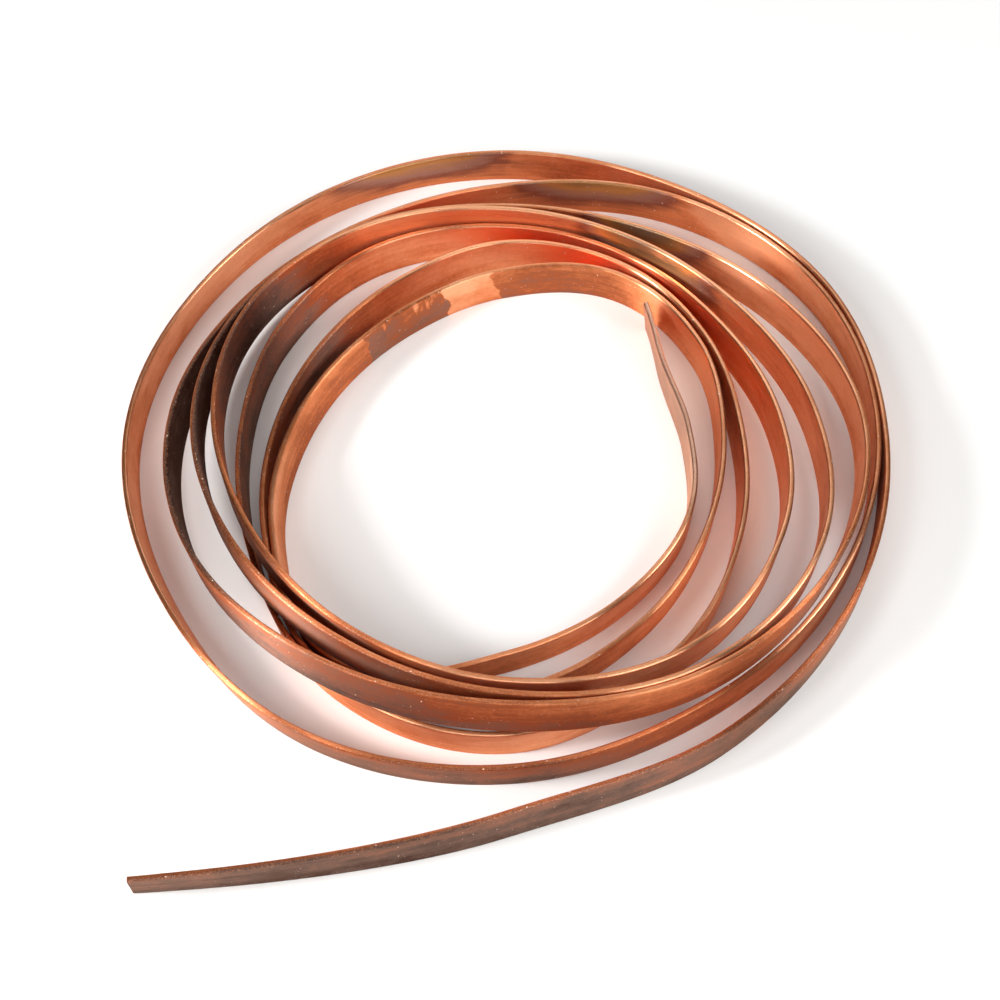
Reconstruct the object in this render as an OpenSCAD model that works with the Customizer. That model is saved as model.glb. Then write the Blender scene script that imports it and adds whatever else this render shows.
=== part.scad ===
// Coil of copper tape.
// One length of flat bare copper tape, wound seven and a half times and let go, so the turns
// stand loose on their long edges. The tape runs counter-clockwise, seen from above, from its
// outer end to its inner end. The three inner turns have slid out at the front left (-X, -Y)
// and run under the three turns outside them.
// The floor is z = 0 and the origin is on it, under the middle of the whole coil.

/* [Tape] */

// width of the tape across its flat face, which is the height of one turn, mm
tape_width = 25; // [12:1:50]
// thickness of the tape, mm
tape_thickness = 3; // [1:0.1:4]
// bevel that rounds off the four long edges, mm
edge_bevel = 0.7; // [0.1:0.1:1.4]

/* [Coil] */

// radius the innermost turn would have if the coil were drawn tight, mm
eye_radius = 95; // [80:1:140]
// air between two turns that are drawn up against each other, mm
turn_air = 0.2; // [0.1:0.1:2]
// how far the outer end trails back from the first whole turn, degrees
outer_end = 124.5; // [90:1:140]
// how far the inner end runs on past the last whole turn, degrees
inner_end = 47; // [10:1:58]
// angle between one cross-section of the strip and the next, degrees
ring_step = 5; // [4:0.5:10]

/* [Hidden] */

// the sub-part to draw, or all of them

// colour of worked copper
copper = [0.72, 0.40, 0.26];

// The lie of the tape is set at a station every 30 degrees, counted from the right-hand
// side (+X) round by the back (+Y). The first row is the outer end, then one row to a turn
// from the outermost to the innermost, then the inner end.
station_step = 30;
first_station = -150;
whole_turns = 7;

// How far each station of the tape stands out from the tight roll, mm.
// 0    30    60    90   120   150   180   210   240   270   300   330
slack = [
                                      [322,  176,  110,   94,   86],
  [ 84,   88,   84,   85,   84,   81,   82,   81,   88,   84,   77, 78.5],
  [ 83, 86.5,   78,   60,   49,   50,   59,   67,   70,   73, 78.5,   77],
  [ 75,   61,   47,   43,   47,   48,   51,   52,   57,   67,   77, 71.5],
  [ 53,   40,   37,   39,   44,   46,   44,   44,   52,   63,   68,   54],
  [ 37,   29,   33,   38,   42,   37,   35,   45, 70.5,   80,   59,   35],
  [ 22,   24,   30,   29,   17,   13,   19, 38.5, 69.5,   59,   37,   21],
  [ 16,   23,   27,   13,    2,    2,   13,   37,   66,   40,   23,   13],
  [  2,    5,   40]];

// How high the foot of the tape is held off the floor, in widths of the tape.
// 0    30    60    90   120   150   180   210   240   270   300   330
lift = [
                                      [  0,    0,    0,    0,    0],
  [  0,    0,    0,    0,    0,    0,    0,    0,    0,    0,    0,    0],
  [  0,    0,    0,    0,  0.1, 0.25,  0.5,  0.8, 1.03, 1.07, 1.03,  0.8],
  [0.5, 0.25, 0.15, 0.15, 0.25,  0.5,  0.8, 1.03, 1.07, 1.07, 1.05,  0.9],
  [0.65, 0.45, 0.35, 0.4,  0.5,  0.7, 0.95, 1.05, 1.07, 1.07, 1.05, 0.85],
  [0.5,  0.2,    0,    0,    0,    0,    0,    0,    0,    0,    0,    0],
  [  0,    0,    0,    0,    0,    0,    0,    0,    0,    0,    0,    0],
  [  0,    0,    0,    0,    0,    0,    0,    0,    0,    0,    0,    0],
  [  0,    0,    0]];

// How far the top of the tape leans out from the coil's axis, degrees.
// 0    30    60    90   120   150   180   210   240   270   300   330
lean = [
                                      [ 28,   11,    1,    3,    5],
  [  1,   -2,   -5,   -6,   -8,   -4,    7,   16,   14,   11,    6,    3],
  [  2,   -1,   -1,    0,    3,    6,   10,    9,    1,   -3,    3,    9],
  [  5,    2,    2,    3,    4,    6,    6,    6,    5,    5,    6,    6],
  [  4,    0,    0,    1,    4,    6,    5,    5,    6,    6,    7,    6],
  [  6,    5,    3,    1,    1,    3,    5,    9,    9,    8,    6,    6],
  [  5,    3,    1,    1,    2,    4,    8,   10,    9,    8,    7,    5],
  [  4,    1,   -2,   -2,    0,    3,    9,   11,   10,   10,    8,    4],
  [  1,   -4,   -8]];

function all_rows(table) = [for (row = table) each row];
slack_list = all_rows(slack);
lift_list = all_rows(lift);
lean_list = all_rows(lean);

// One value of a list of stations; past either end the list runs on in a straight line.
function station(list, k) =
  k < 0 ? list[0] + k * (list[1] - list[0]) :
  k < len(list) ? list[k] :
  list[len(list) - 1] + (k - len(list) + 1) * (list[len(list) - 1] - list[len(list) - 2]);

// A smooth curve through the stations, read at any angle along the tape.
function smooth_curve(p, q, r, s, t) =
  q + 0.5 * t * (r - p + t * (2 * p - 5 * q + 4 * r - s + t * (3 * (q - r) + s - p)));
function along(list, angle) =
  let (place = (angle - first_station) / station_step, k = floor(place))
  smooth_curve(station(list, k - 1), station(list, k), station(list, k + 1),
    station(list, k + 2), place - k);

// The path of the tape's foot on the floor plan, and the way out from the coil at any angle.
function tight_radius(angle) =
  eye_radius + (tape_thickness + turn_air) * (whole_turns - angle / 360);
function foot_radius(angle) = tight_radius(angle) + along(slack_list, angle);
function foot(angle) = foot_radius(angle) * [cos(angle), sin(angle)];
function outward(angle) =
  let (run = foot(angle + 1) - foot(angle - 1)) [run[1], -run[0]] / norm(run);

// Half the tape's thickness and width, and its cross-section as [out, up] points.
half_thick = tape_thickness / 2;
half_wide = tape_width / 2;
bevel = min(edge_bevel, 0.48 * tape_thickness);
section = [
  [half_thick, -half_wide + bevel], [half_thick, half_wide - bevel],
  [half_thick - bevel, half_wide], [-half_thick + bevel, half_wide],
  [-half_thick, half_wide - bevel], [-half_thick, -half_wide + bevel],
  [-half_thick + bevel, -half_wide], [half_thick - bevel, -half_wide]];

function leaned(p, tilt) =
  [p[0] * cos(tilt) + p[1] * sin(tilt), p[1] * cos(tilt) - p[0] * sin(tilt)];
function depth_below_middle(tilt) = -min([for (p = section) leaned(p, tilt)[1]]);

// The corners of the strip at one angle, standing on the floor or held off it.
function ring(angle) =
  let (
    tilt = along(lean_list, angle),
    middle = foot(angle) + outward(angle) * half_wide * sin(tilt),
    height = max(0, along(lift_list, angle)) * tape_width + depth_below_middle(tilt))
  [for (p = section)
    let (q = leaned(p, tilt), plan = middle + outward(angle) * q[0])
    [plan[0], plan[1], height + q[1]]];

tape_start = -outer_end;
tape_stop = whole_turns * 360 + inner_end;
ring_count = ceil((tape_stop - tape_start) / ring_step);
corners = [for (i = [0:ring_count])
  each ring(tape_start + (tape_stop - tape_start) * i / ring_count)];

// The middle of the coil's outer bounds on the floor plan.
function middle_of(list) = (min(list) + max(list)) / 2;
plan_middle = [middle_of([for (p = corners) p[0]]), middle_of([for (p = corners) p[1]])];

// The copper tape: one strip swept along its whole length, square cut at both ends.
module copper_tape() {
  sides = len(section);
  skin = [for (i = [0:ring_count - 1], j = [0:sides - 1])
    let (a = i * sides + j, b = i * sides + (j + 1) % sides)
    each [[a, b + sides, a + sides], [a, b, b + sides]]];
  last = ring_count * sides;
  outer_cut = [for (j = [1:sides - 2]) [0, j + 1, j]];
  inner_cut = [for (j = [1:sides - 2]) [last, last + j, last + j + 1]];
  color(copper)
  translate([-plan_middle[0], -plan_middle[1], 0])
  polyhedron(points = corners, faces = concat(skin, outer_cut, inner_cut), convexity = 20);
}

copper_tape();
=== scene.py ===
"""Coil of bare copper tape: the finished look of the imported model, in the model's own frame."""
import math

import bpy
from bpy.props import FloatProperty, FloatVectorProperty, IntProperty, PointerProperty
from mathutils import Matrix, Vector


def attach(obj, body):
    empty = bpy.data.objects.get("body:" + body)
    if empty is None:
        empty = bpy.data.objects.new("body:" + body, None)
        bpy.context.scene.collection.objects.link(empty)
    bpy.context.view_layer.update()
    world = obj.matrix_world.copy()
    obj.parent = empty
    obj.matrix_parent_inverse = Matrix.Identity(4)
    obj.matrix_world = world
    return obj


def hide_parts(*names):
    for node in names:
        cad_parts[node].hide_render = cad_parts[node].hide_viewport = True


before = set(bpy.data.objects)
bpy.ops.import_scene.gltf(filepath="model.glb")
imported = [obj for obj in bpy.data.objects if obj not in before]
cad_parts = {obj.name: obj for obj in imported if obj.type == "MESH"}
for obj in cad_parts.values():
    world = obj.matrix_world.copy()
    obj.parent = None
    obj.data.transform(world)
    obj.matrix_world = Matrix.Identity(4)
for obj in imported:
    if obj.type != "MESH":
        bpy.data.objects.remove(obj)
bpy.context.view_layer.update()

bl_info = {
    "name": "Coil of Copper Tape",
    "version": (1, 0, 0),
    "blender": (4, 5, 0),
    "location": "3D View > Sidebar > Copper Tape",
    "description": "Builds a loose coil of flat bare copper tape and the studio that it stands in",
    "category": "Object",
}

MM = 0.001
NODE = "copper_tape"

# The lie of the tape, at a station every 30 degrees, counted from the right-hand side (+X)
# round by the back (+Y). The first row is the outer end, then one row to a turn from the
# outermost to the innermost, then the inner end.
STATION_STEP = 30
FIRST_STATION = -150

# How far each station of the tape stands out from the tight roll, mm.
SLACK = [
    322, 176, 110, 94, 86,
    84, 88, 84, 85, 84, 81, 82, 81, 88, 84, 77, 78.5,
    83, 86.5, 78, 60, 49, 50, 59, 67, 70, 73, 78.5, 77,
    75, 61, 47, 43, 47, 48, 51, 52, 57, 67, 77, 71.5,
    53, 40, 37, 39, 44, 46, 44, 44, 52, 63, 68, 54,
    37, 29, 33, 38, 42, 37, 35, 45, 70.5, 80, 59, 35,
    22, 24, 30, 29, 17, 13, 19, 38.5, 69.5, 59, 37, 21,
    16, 23, 27, 13, 2, 2, 13, 37, 66, 40, 23, 13,
    2, 5, 40]

# How high the foot of the tape is held off the floor, in widths of the tape.
LIFT = [
    0, 0, 0, 0, 0,
    0, 0, 0, 0, 0, 0, 0, 0, 0, 0, 0, 0,
    0, 0, 0, 0, 0.1, 0.25, 0.5, 0.8, 1.03, 1.07, 1.03, 0.8,
    0.5, 0.25, 0.15, 0.15, 0.25, 0.5, 0.8, 1.03, 1.07, 1.07, 1.05, 0.9,
    0.65, 0.45, 0.35, 0.4, 0.5, 0.7, 0.95, 1.05, 1.07, 1.07, 1.05, 0.85,
    0.5, 0.2, 0, 0, 0, 0, 0, 0, 0, 0, 0, 0,
    0, 0, 0, 0, 0, 0, 0, 0, 0, 0, 0, 0,
    0, 0, 0, 0, 0, 0, 0, 0, 0, 0, 0, 0,
    0, 0, 0]

# How far the top of the tape leans out from the coil's axis, degrees.
LEAN = [
    28, 11, 1, 3, 5,
    1, -2, -5, -6, -8, -4, 7, 16, 14, 11, 6, 3,
    2, -1, -1, 0, 3, 6, 10, 9, 1, -3, 3, 9,
    5, 2, 2, 3, 4, 6, 6, 6, 5, 5, 6, 6,
    4, 0, 0, 1, 4, 6, 5, 5, 6, 6, 7, 6,
    6, 5, 3, 1, 1, 3, 5, 9, 9, 8, 6, 6,
    5, 3, 1, 1, 2, 4, 8, 10, 9, 8, 7, 5,
    4, 1, -2, -2, 0, 3, 9, 11, 10, 10, 8, 4,
    1, -4, -8]

# How much of the clean metal the brown film hides on the face that looks in to the coil's
# axis and on the one that looks out, in tenths. The values carry painted shade and painted
# highlights as well as the real film: stations in shade, such as the inner faces on the
# left, are given a thick dark film, and stations under a pale highlight are laid towards the
# pale dull colour.
FILM_AND_SHADE_IN = [
    5, 5, 5, 5, 5,
    1, 2, 3, 4, 3, 1, 3, 1, 4, 4, 4, 4,
    3, 1, 4, 3, 4, 9, 13, 11, 5, 5, 4, 4,
    1, 0, 3, 5, 4, 11, 13, 8, 5, 5, 4, 3,
    1, 0, 0, 0, 1, 10, 8, 5, 5, 5, 4, 1,
    0, 0, 0, 0, 3, 9, 9, 8, 5, 5, 4, 0,
    2, 2, 0, 1, 3, 9, 7, 5, 5, 5, 4, 2,
    2, 0, 5, 6, 4, 5, 5, 3, 4, 4, 3, 2,
    5, 5, 5]
FILM_AND_SHADE_OUT = [
    9, 10, 10, 9, 8,
    5, 5, 5, 4, 4, 5, 5, 6, 8, 8, 5, 1,
    5, 3, 3, 3, 3, 5, 5, 7, 9, 6, 5, 9,
    5, 1, 1, 1, 3, 5, 5, 7, 8, 6, 0, 0,
    3, 0, 0, 0, 2, 5, 5, 7, 8, 1, 1, 5,
    3, 0, 0, 0, 2, 5, 5, 5, 4, 1, 0, 1,
    3, 0, 0, 0, 2, 5, 5, 5, 5, 4, 4, 3,
    2, 1, 1, 1, 3, 5, 5, 5, 5, 4, 1, 1,
    3, 3, 3]

# Where the tape was warmed, on the face that looks in: from which turn to which, and how much.
HEATED = (
    (0.25, 0.325, 0.32), (1.17, 1.235, 0.36), (2.135, 2.19, 0.55), (3.11, 3.19, 0.5))
# Where the face that looks in is painted redder, a painted reflection of the light that bounces
# between the turns: from which turn to which.
REFLECTED_RED_STRETCHES = ((1.27, 1.37), (4.08, 4.26), (5.16, 5.22))
# The patches of the innermost turn, the painted highlight on the second turn and the inner end
# painted pale as a painted highlight.
BROWN_PATCH = (6.302, 6.392)
WIPED_PATCH = (6.258, 6.302)
HIGHLIGHT_PATCH = (1.12, 1.15)
PALE_HIGHLIGHT_END = (6.93, 7.5)
# How far the ends of such a stretch blur, in turns.
SHARP_BLUR = 0.001
SOFT_BLUR = 0.012
WIDE_BLUR = 0.03

# How much of the film's full strength shows, and how much darker the metal is painted for
# each metre across the tape towards its foot, as painted shade that deepens near the floor.
FILM_STRENGTH = 0.77
SHADE_TO_FOOT = 10.0
# How much the heat colours lose for each metre across the tape towards its foot.
HEAT_TO_FOOT = -80.0
# Where the crest of a long edge begins and where it is full, from the tape's middle line.
CREST = (11.5 * MM, 12.2 * MM)
# How deep the rolled lines, the shallow dents and the tears of the cut ends are.
LINE_DEPTH = 0.02 * MM
DENT_DEPTH = 0.25 * MM
TEAR_DEPTH = 0.1 * MM

# How the mesh of the rounded section is made.
FACE_MARGIN = 0.35 * MM
EDGE_STEPS = 4

# The studio: each lamp's name, its direction in degrees round from +X and up from the floor,
# its power in watts and its size in metres. All of them aim at the origin.
LAMPS = (
    ("left_soft_box", 198, 32, 24, 0.35),
    ("high_soft_box", 222, 48, 7, 0.5),
    ("right_soft_box", 3, 38, 8, 0.5),
    ("front_soft_box", 310, 42, 8.5, 0.8),
    ("low_soft_box", 262, 32, 5, 0.8),
    ("back_soft_box", 85, 42, 3.5, 0.8),
    ("top_soft_box", 0, 88, 1.8, 0.8))
LAMP_DISTANCE = 1.6
WORLD_STRENGTH = 0.04
FLOOR_GLOW = 0.05
FLOOR_REACH = 6.0

# The camera looks down from the front (-Y): its lens and sensor in mm, the point that it is
# aimed at and its distance from it in metres, and its rise above the floor in degrees.
LENS_LENGTH = 82.5
SENSOR_WIDTH = 36
CAMERA_AIM = (-0.0032, 0.0002, 0.0)
CAMERA_RISE = 55
CAMERA_DISTANCE = 1.219


def linear(hex_colour):
    """The linear colour of an sRGB hex value, with an alpha of 1."""
    value = hex_colour.lstrip("#")
    channels = [int(value[i:i + 2], 16) / 255 for i in (0, 2, 4)]
    return tuple(c / 12.92 if c <= 0.04045 else ((c + 0.055) / 1.055) ** 2.4
                 for c in channels) + (1.0,)


def length_property(name, description, default):
    return FloatProperty(name=name, description=description, default=default, min=0.0,
                         subtype="DISTANCE", unit="LENGTH", precision=4)


class CopperTapeSizes(bpy.types.PropertyGroup):
    """Sizes of the tape and of the roll that it came from."""
    width: length_property("Width", "Width of the tape across its flat face", 25 * MM)
    thickness: length_property("Thickness", "Thickness of the tape", 3 * MM)
    edge_radius: length_property("Edge Radius", "Radius of the rolled long edges", 1.0 * MM)
    eye_radius: length_property("Eye Radius", "Radius of the innermost turn, drawn tight",
                                95 * MM)
    turn_air: length_property("Turn Air", "Air between two turns that are drawn up tight",
                              0.2 * MM)
    outer_end: FloatProperty(name="Outer End", default=math.radians(124.5), unit="ROTATION",
                             description="How far the outer end trails back from the first turn")
    inner_end: FloatProperty(name="Inner End", default=math.radians(47), unit="ROTATION",
                             description="How far the inner end runs on past the last turn")
    whole_turns: IntProperty(name="Whole Turns", default=7, min=1,
                             description="Number of whole turns between the two ends")
    ring_step: FloatProperty(name="Ring Step", default=math.radians(1), unit="ROTATION",
                             description="Angle from one cross-section of the mesh to the next")


def colour_property(name, description, hex_colour):
    return FloatVectorProperty(name=name, description=description, size=4, min=0, max=1,
                               default=linear(hex_colour), subtype="COLOR")


class CopperTapeLooks(bpy.types.PropertyGroup):
    """Colours of the metal, of what lies on it, and of the room."""
    clean: colour_property("Clean", "Copper wiped clean of its film", "#FFB689")
    satin: colour_property("Satin", "Copper under a thin film", "#E48B5A")
    brown: colour_property("Brown", "Copper under a brown film", "#B8653F")
    dull: colour_property("Dull", "Copper under a thick film", "#A06D59")
    stale: colour_property("Stale", "Copper under the thickest film", "#7A6055")
    # The darkest stop, reached mostly on the stations given painted shade, such as the inner faces
    # on the left.
    soot_and_shade: colour_property("Sooty Film", "Colour where the film is at its thickest", "#4E3026")
    # A painted reflection: the red of light bounced to and fro between the turns, laid into the
    # colour.
    flush: colour_property("Flush", "Copper that glows redder between the turns", "#FF9264")
    violet: colour_property("Violet", "Heat colour that follows the satin", "#7E4A44")
    mauve: colour_property("Mauve", "Heat colour that follows the violet", "#A08078")
    straw: colour_property("Straw", "Heat colour that follows the mauve", "#D09A58")
    olive: colour_property("Olive", "Heat colour that follows the straw", "#8A7850")
    slate: colour_property("Slate", "Heat colour where it was warmed most", "#5E6A60")
    rubbed: colour_property("Rubbed", "Crests of the rolled edges", "#E2A07A")
    # This colour serves both the real specks of dust and the painted highlight on the inner end.
    dust_and_highlight: colour_property("Speck", "Specks of dust and the pale inner end", "#FFE6D4")
    sheen: colour_property("Sheen", "Tint of the metal seen at a low angle", "#FFEDDD")
    floor: colour_property("Floor", "Studio floor", "#F2F1EF")


def add_node(tree, kind, inputs=(), out=0, stops=(), **settings):
    """Adds a node with its settings and, on a ramp, its colour stops. Inputs, by name or in
    order, are constants or sockets to link. Gives back the output asked for, or the node
    itself if it has none."""
    made = tree.nodes.new(kind)
    if stops:
        row = made.color_ramp.elements
        row.remove(row[1])
        row[0].position, row[0].color = stops[0]
        for place, colour in stops[1:]:
            row.new(place).color = colour
    for key, value in settings.items():
        setattr(made, key, value)
    for key, value in (inputs if isinstance(inputs, dict) else dict(enumerate(inputs))).items():
        if isinstance(value, bpy.types.NodeSocket):
            tree.links.new(value, made.inputs[key])
        else:
            made.inputs[key].default_value = value
    return made.outputs[out] if made.outputs else made


def blank_material(name):
    """A new material with an empty node tree."""
    material = bpy.data.materials.new(name)
    material.use_nodes = True
    material.node_tree.nodes.clear()
    return material, material.node_tree


# ------------------------------------------------------------------ the path of the tape

def station(values, k):
    """One value of a list of stations; past either end the list runs on in a straight line."""
    last = len(values) - 1
    if k < 0:
        return values[0] + k * (values[1] - values[0])
    if k <= last:
        return values[k]
    return values[last] + (k - last) * (values[last] - values[last - 1])


def along(values, angle):
    """A smooth curve through the stations, read at any angle along the tape."""
    place = (angle - FIRST_STATION) / STATION_STEP
    k = math.floor(place)
    t = place - k
    p, q, r, s = (station(values, k + i) for i in (-1, 0, 1, 2))
    return q + 0.5 * t * (r - p + t * (2 * p - 5 * q + 4 * r - s + t * (3 * (q - r) + s - p)))


def foot(angle, sizes):
    """Where the foot of the tape stands on the floor plan, from the coil's axis."""
    pitch = sizes.thickness + sizes.turn_air
    radius = sizes.eye_radius + pitch * (sizes.whole_turns - angle / 360)
    radius += along(SLACK, angle) * MM
    turned = math.radians(angle)
    return Vector((radius * math.cos(turned), radius * math.sin(turned), 0.0))


def tape_place(angle, sizes):
    """The middle of the tape's cross-section and the way out through its flat face."""
    run = foot(angle + 1, sizes) - foot(angle - 1, sizes)
    outward = Vector((run.y, -run.x, 0.0)).normalized()
    tilt = math.radians(along(LEAN, angle))
    half_wide = sizes.width / 2
    half_thick = sizes.thickness / 2
    radius = sizes.edge_radius
    depth = ((half_wide - radius) * math.cos(tilt)
             + (half_thick - radius) * abs(math.sin(tilt)) + radius)
    middle = foot(angle, sizes) + outward * half_wide * math.sin(tilt)
    middle.z = max(0.0, along(LIFT, angle)) * sizes.width + depth
    return middle, outward * math.cos(tilt) - Vector((0, 0, math.sin(tilt)))


def tape_path(sizes):
    """Angles, middles, ways out and lengths run at every ring of the tape, centred on the plan."""
    start = -math.degrees(sizes.outer_end)
    stop = sizes.whole_turns * 360 + math.degrees(sizes.inner_end)
    rings = math.ceil((stop - start) / math.degrees(sizes.ring_step))
    angles = [start + (stop - start) * i / rings for i in range(rings + 1)]
    places = [tape_place(angle, sizes) for angle in angles]
    half_thick = sizes.thickness / 2
    half_wide = sizes.width / 2
    reach = []
    for middle, out in places:
        up = Vector((0, 0, 1)) - out * out.z
        up.normalize()
        for a in (-half_thick, half_thick):
            for b in (-half_wide, half_wide):
                reach.append(middle + out * a + up * b)
    centre = Vector([(min(p[i] for p in reach) + max(p[i] for p in reach)) / 2
                     for i in range(2)] + [0.0])
    middles = [middle - centre for middle, out in places]
    runs = [0.0]
    for before, after in zip(middles, middles[1:]):
        runs.append(runs[-1] + (after - before).length)
    return angles, middles, [out for middle, out in places], runs


# ---------------------------------------------------------------- the swept tape as nodes

MATH = "ShaderNodeMath"
RANGE = "ShaderNodeMapRange"
READ = "GeometryNodeInputNamedAttribute"
STORE = "GeometryNodeStoreNamedAttribute"


def section_loop(tree, given):
    """The rounded flat section: each corner is an arc with one more point on the flat at
    either side of it, so that the flats stay flat when they are shaded smooth."""
    corner_points = add_node(tree, MATH, (given["Edge Steps"], 3.0), operation="ADD")
    count = add_node(tree, MATH, (corner_points, 4.0), operation="MULTIPLY")
    loop = add_node(tree, "GeometryNodeMeshLine", {"Count": count})
    index = add_node(tree, "GeometryNodeInputIndex")
    past = add_node(tree, MATH, (index, 0.5), operation="ADD")
    corner = add_node(tree, MATH, (add_node(tree, MATH, (past, corner_points),
                                            operation="DIVIDE"),), operation="FLOOR")
    done = add_node(tree, MATH, (corner, corner_points), operation="MULTIPLY")
    place = add_node(tree, MATH, (index, done), operation="SUBTRACT")
    last = add_node(tree, MATH, (given["Edge Steps"], 1.0), operation="ADD")
    held = add_node(tree, "ShaderNodeClamp", {"Value": place, "Min": 1.0, "Max": last})
    step = add_node(tree, MATH, (held, 1.0), operation="SUBTRACT")
    share = add_node(tree, MATH, (step, given["Edge Steps"]), operation="DIVIDE")
    quarter = math.pi / 2
    quarters = add_node(tree, MATH, (corner, share), operation="ADD")
    angle = add_node(tree, MATH, (quarters, quarter), operation="MULTIPLY")
    halfway = add_node(tree, MATH, (corner, 0.5), operation="ADD")
    middle = add_node(tree, MATH, (halfway, quarter), operation="MULTIPLY")
    apart = add_node(tree, MATH, (place, held), operation="SUBTRACT")
    shift = add_node(tree, MATH, (apart, given["Face Margin"]), operation="MULTIPLY")
    at = []
    for size, wave, slope, sign in (("Thickness", "COSINE", "SINE", -1.0),
                                    ("Width", "SINE", "COSINE", 1.0)):
        half = add_node(tree, MATH, (given[size], 0.5), operation="MULTIPLY")
        half = add_node(tree, MATH, (half, given["Edge Radius"]), operation="SUBTRACT")
        side = add_node(tree, MATH, (add_node(tree, MATH, (middle,), operation=wave),),
                        operation="SIGN")
        arc = add_node(tree, MATH, (add_node(tree, MATH, (angle,), operation=wave),
                                    given["Edge Radius"]), operation="MULTIPLY")
        way = add_node(tree, MATH, (add_node(tree, MATH, (angle,), operation=slope), sign),
                       operation="MULTIPLY")
        corner_at = add_node(tree, MATH, (half, side, arc), operation="MULTIPLY_ADD")
        at.append(add_node(tree, MATH, (way, shift, corner_at), operation="MULTIPLY_ADD"))
    at = add_node(tree, "ShaderNodeCombineXYZ", at)
    loop = add_node(tree, "GeometryNodeSetPosition", {"Geometry": loop, "Position": at})
    loop = add_node(tree, "GeometryNodeMeshToCurve", {"Mesh": loop})
    return add_node(tree, "GeometryNodeSetSplineCyclic", {"Geometry": loop, "Cyclic": True})


def sweep_tree():
    """Sweeps a rounded flat section along the path and notes where each point lay when flat."""
    tree = bpy.data.node_groups.new("Swept tape", "GeometryNodeTree")
    face = tree.interface
    face.new_socket("Path", in_out="INPUT", socket_type="NodeSocketGeometry")
    for name in ("Width", "Thickness", "Edge Radius", "Face Margin"):
        face.new_socket(name, in_out="INPUT", socket_type="NodeSocketFloat")
    face.new_socket("Edge Steps", in_out="INPUT", socket_type="NodeSocketInt")
    face.new_socket("Face Finish", in_out="INPUT", socket_type="NodeSocketMaterial")
    face.new_socket("End Finish", in_out="INPUT", socket_type="NodeSocketMaterial")
    face.new_socket("Tape", in_out="OUTPUT", socket_type="NodeSocketGeometry")
    given = tree.nodes.new("NodeGroupInput").outputs
    read = {name: add_node(tree, READ, {"Name": name}, data_type="FLOAT")
            for name in ("run", "out", "across", "round", "film_and_shade_in", "film_and_shade_out")}

    # The section keeps its own two distances and the way round it.
    section = section_loop(tree, given)
    where = add_node(tree, "ShaderNodeSeparateXYZ",
                     (add_node(tree, "GeometryNodeInputPosition"),)).node.outputs
    round_way = add_node(tree, "GeometryNodeSplineParameter", out="Length")
    for name, value in (("out", where["X"]), ("across", where["Y"]), ("round", round_way)):
        section = add_node(tree, STORE, {"Geometry": section, "Name": name, "Value": value},
                           data_type="FLOAT", domain="POINT")

    # The path carries the way out through the flat face, which the section follows.
    path = add_node(tree, "GeometryNodeMeshToCurve", {"Mesh": given["Path"]})
    outward = add_node(tree, READ, {"Name": "outward"}, data_type="FLOAT_VECTOR")
    path = add_node(tree, "GeometryNodeSetCurveNormal", {"Curve": path, "Normal": outward},
                    mode="FREE")
    tape = add_node(tree, "GeometryNodeCurveToMesh",
                    {"Curve": path, "Profile Curve": section, "Fill Caps": True})

    # What the finish reads: the place on the flat tape and the film, which holds painted shade and
    # painted highlights as well as the real film.
    flat = add_node(tree, "ShaderNodeCombineXYZ", (read["run"], read["out"], read["across"]))
    tape = add_node(tree, STORE, {"Geometry": tape, "Name": "flat", "Value": flat},
                    data_type="FLOAT_VECTOR", domain="POINT")
    outside = add_node(tree, RANGE, {"Value": read["out"], "From Min": -1 * MM,
                                     "From Max": 1 * MM})
    film = add_node(tree, "ShaderNodeMix", {"Factor": outside, "A": read["film_and_shade_in"],
                                            "B": read["film_and_shade_out"]})
    tape = add_node(tree, STORE, {"Geometry": tape, "Name": "film", "Value": film},
                    data_type="FLOAT", domain="POINT")

    # The map runs along the tape and round its section; the face that closes the section is
    # carried on past the last point, and the cut ends are laid out flat.
    half_girth = add_node(tree, MATH, (given["Width"], given["Thickness"]), operation="ADD")
    mean = add_node(tree, "GeometryNodeFieldOnDomain", (read["round"],), data_type="FLOAT",
                    domain="FACE")
    behind = add_node(tree, MATH, (mean, read["round"]), operation="SUBTRACT")
    quarter_girth = add_node(tree, MATH, (half_girth, 0.5), operation="MULTIPLY")
    closes = add_node(tree, MATH, (behind, quarter_girth), operation="GREATER_THAN")
    carried = add_node(tree, MATH, (closes, half_girth), operation="MULTIPLY")
    v = add_node(tree, MATH, (carried, 2.0, read["round"]), operation="MULTIPLY_ADD")
    chart = add_node(tree, "ShaderNodeCombineXYZ", (read["run"], v))
    end_u = add_node(tree, MATH, (read["run"], read["out"]), operation="ADD")
    end_chart = add_node(tree, "ShaderNodeCombineXYZ", (end_u, read["across"]))
    sides = add_node(tree, "GeometryNodeInputMeshFaceNeighbors", out="Vertex Count")
    is_end = add_node(tree, MATH, (sides, 4.0), operation="GREATER_THAN")
    is_side = add_node(tree, MATH, (1.0, is_end), operation="SUBTRACT")
    chart = add_node(tree, "ShaderNodeMix", {"Factor": is_end, 4: chart, 5: end_chart},
                     out=1, data_type="VECTOR")
    tape = add_node(tree, STORE, {"Geometry": tape, "Name": "tape_map", "Value": chart},
                    data_type="FLOAT2", domain="CORNER")
    tape = add_node(tree, "GeometryNodeSetShadeSmooth",
                    {"Geometry": tape, "Shade Smooth": is_side})
    tape = add_node(tree, "GeometryNodeRealizeInstances", {"Geometry": tape})
    tape = add_node(tree, "GeometryNodeSetMaterial",
                    {"Geometry": tape, "Material": given["Face Finish"]})
    tape = add_node(tree, "GeometryNodeSetMaterial",
                    {"Geometry": tape, "Selection": is_end, "Material": given["End Finish"]})
    add_node(tree, "NodeGroupOutput", (tape,))
    return tree


# ------------------------------------------------------------------------------ the finishes

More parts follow.
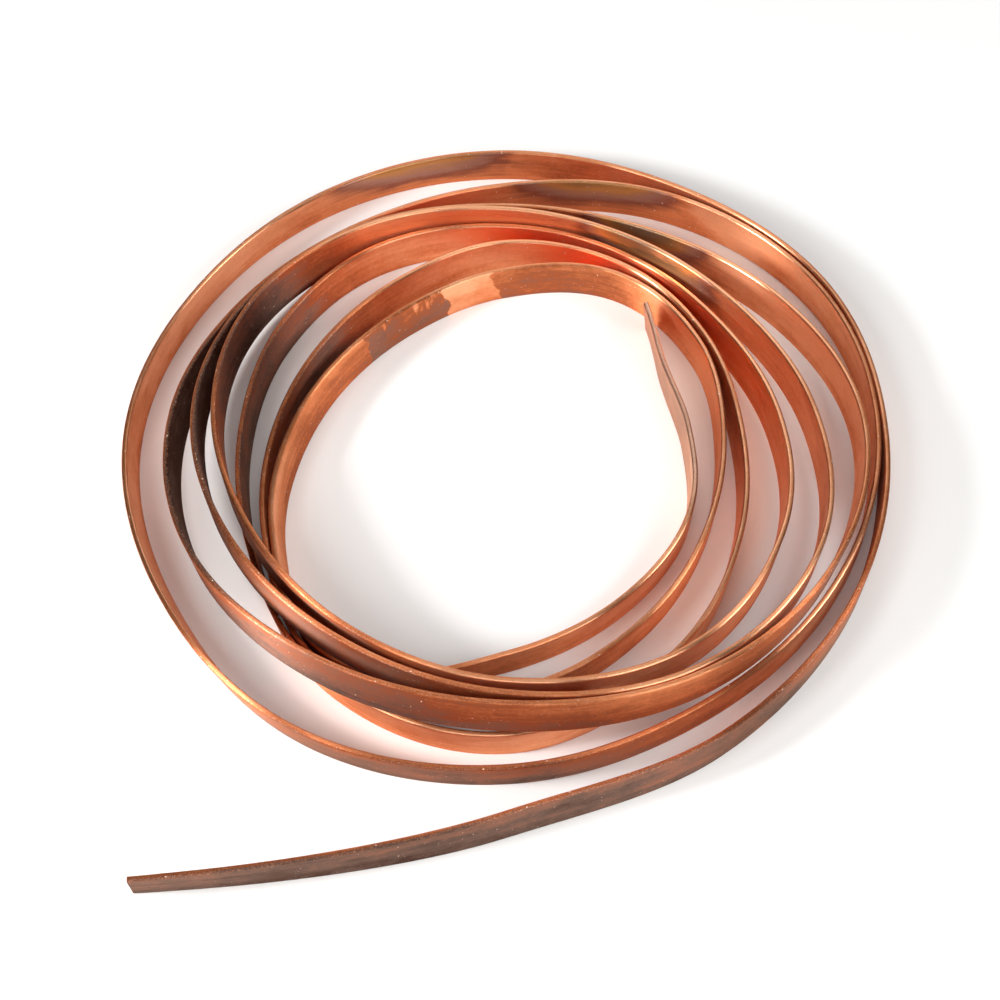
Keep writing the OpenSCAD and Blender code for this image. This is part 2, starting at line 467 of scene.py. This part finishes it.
# Nought below From Min, one above From Max, and smooth between.
SOFT = {"interpolation_type": "SMOOTHSTEP"}
# One colour laid over another: inputs are the share of the second, at 0, and the two, at 6 and 7.
OVER = {"out": 2, "data_type": "RGBA"}


def pattern(tree, flat, grain, detail=3.0, rough=0.55, warp=0.0):
    """Noise on the flat tape; grain is its size along, through and across the tape, in mm."""
    scale = [1 / (size * MM) for size in grain]
    at = add_node(tree, "ShaderNodeVectorMath", (flat, scale), operation="MULTIPLY")
    return add_node(tree, "ShaderNodeTexNoise", {"Vector": at, "Scale": 1.0, "Detail": detail,
                                                 "Roughness": rough, "Distortion": warp})


def layered(tree, value, layers):
    """A value with patterns added to it, each centred on nought and weighted."""
    for layer, weight in layers:
        level = add_node(tree, MATH, (layer, 0.5), operation="SUBTRACT")
        value = add_node(tree, MATH, (level, weight, value), operation="MULTIPLY_ADD")
    return value


def patch(tree, turn, start, stop, blur):
    """One on a stretch of the tape and nought off it, with ends that blur, in turns."""
    begun = add_node(tree, RANGE, (turn, start - blur, start + blur), **SOFT)
    ended = add_node(tree, RANGE, (turn, stop - blur, stop + blur), **SOFT)
    return add_node(tree, MATH, (begun, ended), operation="SUBTRACT")


def rolled_copper(looks):
    """Copper, cold rolled to a bright satin and then handled, heated and stored bare: fine
    lines run along it, a thin brown film of oxide comes and goes in clouds, and where it was
    warmed the film is thick enough to show violet, straw and olive. Painted light is laid into
    the colour too: painted shade and painted highlights in the film, painted shade towards
    the foot, a painted highlight on the second turn, a painted red reflection between the
    turns and a painted highlight on the inner end."""
    material, tree = blank_material("Cold-rolled bare copper")
    flat = add_node(tree, "ShaderNodeAttribute", out="Vector", attribute_name="flat")
    film = add_node(tree, "ShaderNodeAttribute", out="Fac", attribute_name="film")
    turn = add_node(tree, "ShaderNodeAttribute", out="Fac", attribute_name="turn")
    through, across = add_node(tree, "ShaderNodeSeparateXYZ", (flat,)).node.outputs[1:]
    inner_side = add_node(tree, RANGE, (through, 0.0, -1 * MM), **SOFT)

    # The lines that the rolls left are about 0.1 mm apart, drawn here at 0.35 mm to show.
    fine = pattern(tree, flat, (60, 1, 0.35), detail=2)
    broad = pattern(tree, flat, (220, 3, 2.2), detail=2)
    clouds = pattern(tree, flat, (40, 6, 12), detail=4, rough=0.5, warp=0.5)
    blots = pattern(tree, flat, (13, 6, 9), detail=3, warp=0.4)
    mottle = pattern(tree, flat, (2.5, 2, 1.8), detail=3, rough=0.65)

    # The film, with the painted shade and highlights of its tables, varies with the clouds, the
    # blots and the fine lines, and the metal is painted darker towards the foot as painted shade.
    rise = add_node(tree, MATH, (across,), operation="ABSOLUTE")
    edge = add_node(tree, RANGE, (rise, *CREST), **SOFT)
    thick = add_node(tree, MATH, (across, SHADE_TO_FOOT, film), operation="MULTIPLY_ADD")
    thick = layered(tree, thick, ((clouds, 0.55), (blots, 0.35), (broad, 0.3), (fine, 0.22),
                                  (mottle, 0.3)))

    # On the innermost turn one patch was left brown and one was wiped bright, with a straight
    # edge between them; the brown one is worn through here and there from its upper edge.
    bent = layered(tree, turn, ((clouds, 0.02),))
    slant = add_node(tree, MATH, (across, 0.3, bent), operation="MULTIPLY_ADD")
    brown = patch(tree, slant, *BROWN_PATCH, SHARP_BLUR)
    wiped = patch(tree, slant, *WIPED_PATCH, SHARP_BLUR)
    brown = add_node(tree, MATH, (brown, inner_side), operation="MULTIPLY")
    wiped = add_node(tree, MATH, (wiped, inner_side), operation="MULTIPLY")
    worn = add_node(tree, RANGE, (pattern(tree, flat, (5, 4, 16), detail=3), 0.5, 0.66), **SOFT)
    worn = add_node(tree, MATH, (worn, brown), operation="MULTIPLY")
    upper = add_node(tree, RANGE, (across, 4 * MM, -8 * MM), **SOFT)
    worn = add_node(tree, MATH, (worn, upper), operation="MULTIPLY")
    # A painted highlight on the second turn: the film is thinned where a lamp's highlight falls.
    bright = patch(tree, slant, *HIGHLIGHT_PATCH, SOFT_BLUR)
    for mark, weight in ((brown, 0.3), (worn, -0.4), (wiped, -0.35), (bright, -0.4)):
        thick = add_node(tree, MATH, (mark, weight, thick), operation="MULTIPLY_ADD")
    thick = add_node(tree, MATH, (thick, FILM_STRENGTH), operation="MULTIPLY",
                     use_clamp=True)
    metal = add_node(tree, "ShaderNodeValToRGB", (thick,), stops=(
        (0.0, looks.clean), (0.27, looks.satin), (0.46, looks.brown), (0.62, looks.dull),
        (0.77, looks.stale), (1.0, looks.soot_and_shade)))

    # Heat colours: the warmer the metal was, the further along the row, and the upper edge
    # was warmed most.
    warmth = 0.0
    for start, stop, amount in HEATED:
        spot = patch(tree, slant, start, stop, WIDE_BLUR)
        warmth = add_node(tree, MATH, (spot, amount, warmth), operation="MULTIPLY_ADD")
    warmth = add_node(tree, MATH, (warmth, inner_side), operation="MULTIPLY")
    heated = add_node(tree, RANGE, {"Value": warmth, "From Min": 0.02, "From Max": 0.15,
                                    "To Max": 0.75}, **SOFT)
    slope = add_node(tree, MATH, (across, HEAT_TO_FOOT, 1.0), operation="MULTIPLY_ADD")
    warmth = add_node(tree, MATH, (slope, warmth), operation="MULTIPLY")
    warmth = layered(tree, warmth, ((clouds, 0.35), (broad, 0.2)))
    tint = add_node(tree, "ShaderNodeValToRGB", (warmth,), stops=(
        (0.08, looks.satin), (0.25, looks.violet), (0.38, looks.mauve),
        (0.55, looks.straw), (0.75, looks.olive), (1.0, looks.slate)))
    metal = add_node(tree, "ShaderNodeMix", {0: heated, 6: metal, 7: tint}, **OVER)
    # Painted reflection: the metal is painted redder where light bounces between the turns.
    reflected_red_mask = 0.0
    for start, stop in REFLECTED_RED_STRETCHES:
        reflected_red_mask = add_node(tree, MATH, (patch(tree, bent, start, stop, WIDE_BLUR), reflected_red_mask),
                       operation="ADD")
    reflected_red_mask = add_node(tree, MATH, (reflected_red_mask, inner_side), operation="MULTIPLY")
    metal = add_node(tree, "ShaderNodeMix", {0: reflected_red_mask, 6: metal, 7: looks.flush}, **OVER)

    # The inner end is painted almost white, a painted highlight where it catches the light.
    pale = patch(tree, bent, *PALE_HIGHLIGHT_END, WIDE_BLUR)
    pale = add_node(tree, MATH, (pale, 0.45), operation="MULTIPLY")
    metal = add_node(tree, "ShaderNodeMix", {0: pale, 6: metal, 7: looks.dust_and_highlight}, **OVER)

    # The rounded long edges are rubbed bright on their crests, and specks of dust catch the
    # light.
    burr = pattern(tree, flat, (0.9, 0.9, 0.9), detail=2)
    rubbed = add_node(tree, RANGE, {"Value": burr, "From Min": 0.5, "From Max": 0.62,
                                    "To Max": 0.5}, **SOFT)
    rubbed = add_node(tree, MATH, (rubbed, edge), operation="MULTIPLY")
    metal = add_node(tree, "ShaderNodeMix", {0: rubbed, 6: metal, 7: looks.rubbed}, **OVER)
    dust = pattern(tree, flat, (1.3, 1.3, 1.3), detail=1)
    specks = add_node(tree, RANGE, (dust, 0.745, 0.775), **SOFT)
    metal = add_node(tree, "ShaderNodeMix", {0: specks, 6: metal, 7: looks.dust_and_highlight}, **OVER)

    # Dull where the film is thick, bright where it is thin.
    rough = add_node(tree, MATH, (thick, 0.28, 0.24), operation="MULTIPLY_ADD")
    rough = add_node(tree, MATH, (fine, 0.10, rough), operation="MULTIPLY_ADD")

    # Dust isn't metal, and the rolled lines and shallow dents are too fine for the mesh.
    bare = add_node(tree, MATH, (1.0, specks), operation="SUBTRACT")
    lines = add_node(tree, "ShaderNodeBump", {"Height": fine, "Distance": LINE_DEPTH,
                                              "Strength": 1.0})
    dents = pattern(tree, flat, (26, 20, 30), detail=2)
    lines = add_node(tree, "ShaderNodeBump", {"Height": dents, "Distance": DENT_DEPTH,
                                              "Strength": 1.0, "Normal": lines})
    # The rolled lines spread each reflection, so the metal is strongly anisotropic.
    grain = add_node(tree, "ShaderNodeTangent", direction_type="UV_MAP", uv_map="tape_map")
    shader = add_node(tree, "ShaderNodeBsdfPrincipled",
                      {"Base Color": metal, "Metallic": bare, "Roughness": rough,
                       "Specular Tint": looks.sheen,
                       "Anisotropic": 0.95, "Anisotropic Rotation": 0.25,
                       "Tangent": grain, "Normal": lines})
    add_node(tree, "ShaderNodeOutputMaterial", {"Surface": shader})
    return material


def sheared_copper(looks):
    """Copper cut by a shear: the ends are bright, rough and torn across their thickness."""
    material, tree = blank_material("Sheared copper end")
    flat = add_node(tree, "ShaderNodeAttribute", out="Vector", attribute_name="flat")
    torn = pattern(tree, flat, (1, 3.0, 0.5), detail=3)
    metal = add_node(tree, "ShaderNodeValToRGB", (torn,), stops=(
        (0.35, looks.brown), (0.65, looks.rubbed)))
    ridges = add_node(tree, "ShaderNodeBump", {"Height": torn, "Distance": TEAR_DEPTH})
    shader = add_node(tree, "ShaderNodeBsdfPrincipled",
                      {"Base Color": metal, "Metallic": 1.0, "Roughness": 0.42,
                       "Normal": ridges})
    add_node(tree, "ShaderNodeOutputMaterial", {"Surface": shader})
    return material


class OBJECT_OT_build_copper_tape(bpy.types.Operator):
    """Build the coiled copper tape as one swept strip."""
    bl_idname = "object.build_copper_tape"
    bl_label = "Build Copper Tape"

    def execute(self, context):
        sizes = context.scene.copper_tape_sizes
        looks = context.scene.copper_tape_looks
        angles, middles, outs, runs = tape_path(sizes)
        line = bpy.data.meshes.new("tape_path")
        line.from_pydata(middles, [(i, i + 1) for i in range(len(middles) - 1)], [])
        outward = line.attributes.new("outward", "FLOAT_VECTOR", "POINT")
        outward.data.foreach_set("vector", [c for out in outs for c in out])
        for name, values in (("run", runs), ("turn", [angle / 360 for angle in angles]),
                             ("film_and_shade_in", [along(FILM_AND_SHADE_IN, angle) / 10 for angle in angles]),
                             ("film_and_shade_out", [along(FILM_AND_SHADE_OUT, angle) / 10 for angle in angles])):
            line.attributes.new(name, "FLOAT", "POINT").data.foreach_set("value", values)
        path = bpy.data.objects.new("tape_path", line)
        context.collection.objects.link(path)

        tree = sweep_tree()
        sweep = path.modifiers.new("Sweep", "NODES")
        sweep.node_group = tree
        values = {"Width": sizes.width, "Thickness": sizes.thickness,
                  "Edge Radius": sizes.edge_radius, "Face Margin": FACE_MARGIN,
                  "Edge Steps": EDGE_STEPS, "Face Finish": rolled_copper(looks),
                  "End Finish": sheared_copper(looks)}
        for socket in tree.interface.items_tree:
            if socket.name in values:
                sweep[socket.identifier] = values[socket.name]
        graph = context.evaluated_depsgraph_get()
        mesh = bpy.data.meshes.new_from_object(path.evaluated_get(graph), depsgraph=graph)
        mesh.name = "rolled_tape"
        bpy.data.objects.remove(path)
        tape = bpy.data.objects.new("rolled_tape", mesh)
        context.collection.objects.link(tape)
        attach(tape, "root")
        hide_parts(NODE)
        return {"FINISHED"}


class OBJECT_OT_build_studio(bpy.types.Operator):
    """Build the floor, the lamps and the camera."""
    bl_idname = "object.build_studio"
    bl_label = "Build Studio"

    def execute(self, context):
        looks = context.scene.copper_tape_looks
        scene = context.scene
        world = bpy.data.worlds.new("Studio light")
        scene.world = world
        world.use_nodes = True
        tree = world.node_tree
        tree.nodes.clear()
        light = add_node(tree, "ShaderNodeBackground", {"Color": linear("#FFFFFF"),
                                                        "Strength": WORLD_STRENGTH})
        add_node(tree, "ShaderNodeOutputWorld", {"Surface": light})

        floor_mesh = bpy.data.meshes.new("studio_floor")
        far = FLOOR_REACH
        floor_mesh.from_pydata([(-far, -far, 0), (far, -far, 0), (far, far, 0), (-far, far, 0)],
                               [], [(0, 1, 2, 3)])
        floor = bpy.data.objects.new("studio_floor", floor_mesh)
        material, tree = blank_material("Matt white paper")
        paper = add_node(tree, "ShaderNodeBsdfDiffuse", {"Color": looks.floor})
        # The faint glow shows to the camera and in reflections, and lights nothing itself.
        rays = add_node(tree, "ShaderNodeLightPath").node.outputs
        seen = add_node(tree, MATH, (rays["Is Camera Ray"], rays["Is Glossy Ray"]),
                        operation="MAXIMUM")
        seen = add_node(tree, MATH, (seen, rays["Is Transmission Ray"]), operation="MAXIMUM")
        shine = add_node(tree, MATH, (seen, FLOOR_GLOW), operation="MULTIPLY")
        glow = add_node(tree, "ShaderNodeEmission", {"Color": linear("#FFFFFF"),
                                                     "Strength": shine})
        both = add_node(tree, "ShaderNodeAddShader", (paper, glow))
        add_node(tree, "ShaderNodeOutputMaterial", {"Surface": both})
        floor_mesh.materials.append(material)
        context.collection.objects.link(floor)

        for name, azimuth, rise, power, size in LAMPS:
            lamp = bpy.data.lights.new(name, "AREA")
            lamp.size = size
            lamp.energy = power
            holder = bpy.data.objects.new(name, lamp)
            turned, rise = math.radians(azimuth), math.radians(rise)
            holder.location = LAMP_DISTANCE * Vector(
                (math.cos(turned) * math.cos(rise), math.sin(turned) * math.cos(rise),
                 math.sin(rise)))
            holder.rotation_euler = (-holder.location).to_track_quat("-Z", "Y").to_euler()
            context.collection.objects.link(holder)

        lens = bpy.data.cameras.new("camera")
        lens.lens = LENS_LENGTH
        lens.sensor_width = SENSOR_WIDTH
        camera = bpy.data.objects.new("camera", lens)
        aim = Vector(CAMERA_AIM)
        rise = math.radians(CAMERA_RISE)
        back = Vector((0, -math.cos(rise), math.sin(rise)))
        camera.location = aim + back * CAMERA_DISTANCE
        camera.rotation_euler = (math.radians(90) - rise, 0, 0)
        context.collection.objects.link(camera)
        scene.camera = camera
        scene.view_settings.view_transform = "Standard"
        return {"FINISHED"}


class VIEW3D_PT_copper_tape(bpy.types.Panel):
    """Lists the operators that build the coil and its studio."""
    bl_idname = "VIEW3D_PT_copper_tape"
    bl_label = "Copper Tape"
    bl_space_type = "VIEW_3D"
    bl_region_type = "UI"
    bl_category = "Copper Tape"

    def draw(self, context):
        layout = self.layout
        layout.operator(OBJECT_OT_build_copper_tape.bl_idname)
        layout.operator(OBJECT_OT_build_studio.bl_idname)


CLASSES = (CopperTapeSizes, CopperTapeLooks, OBJECT_OT_build_copper_tape,
           OBJECT_OT_build_studio, VIEW3D_PT_copper_tape)


def register():
    for item in CLASSES:
        bpy.utils.register_class(item)
    bpy.types.Scene.copper_tape_sizes = PointerProperty(type=CopperTapeSizes)
    bpy.types.Scene.copper_tape_looks = PointerProperty(type=CopperTapeLooks)


def unregister():
    del bpy.types.Scene.copper_tape_sizes
    del bpy.types.Scene.copper_tape_looks
    for item in reversed(CLASSES):
        bpy.utils.unregister_class(item)


def main():
    register()
    bpy.ops.object.build_studio()
    bpy.ops.object.build_copper_tape()


if __name__ == "__main__":
    main()
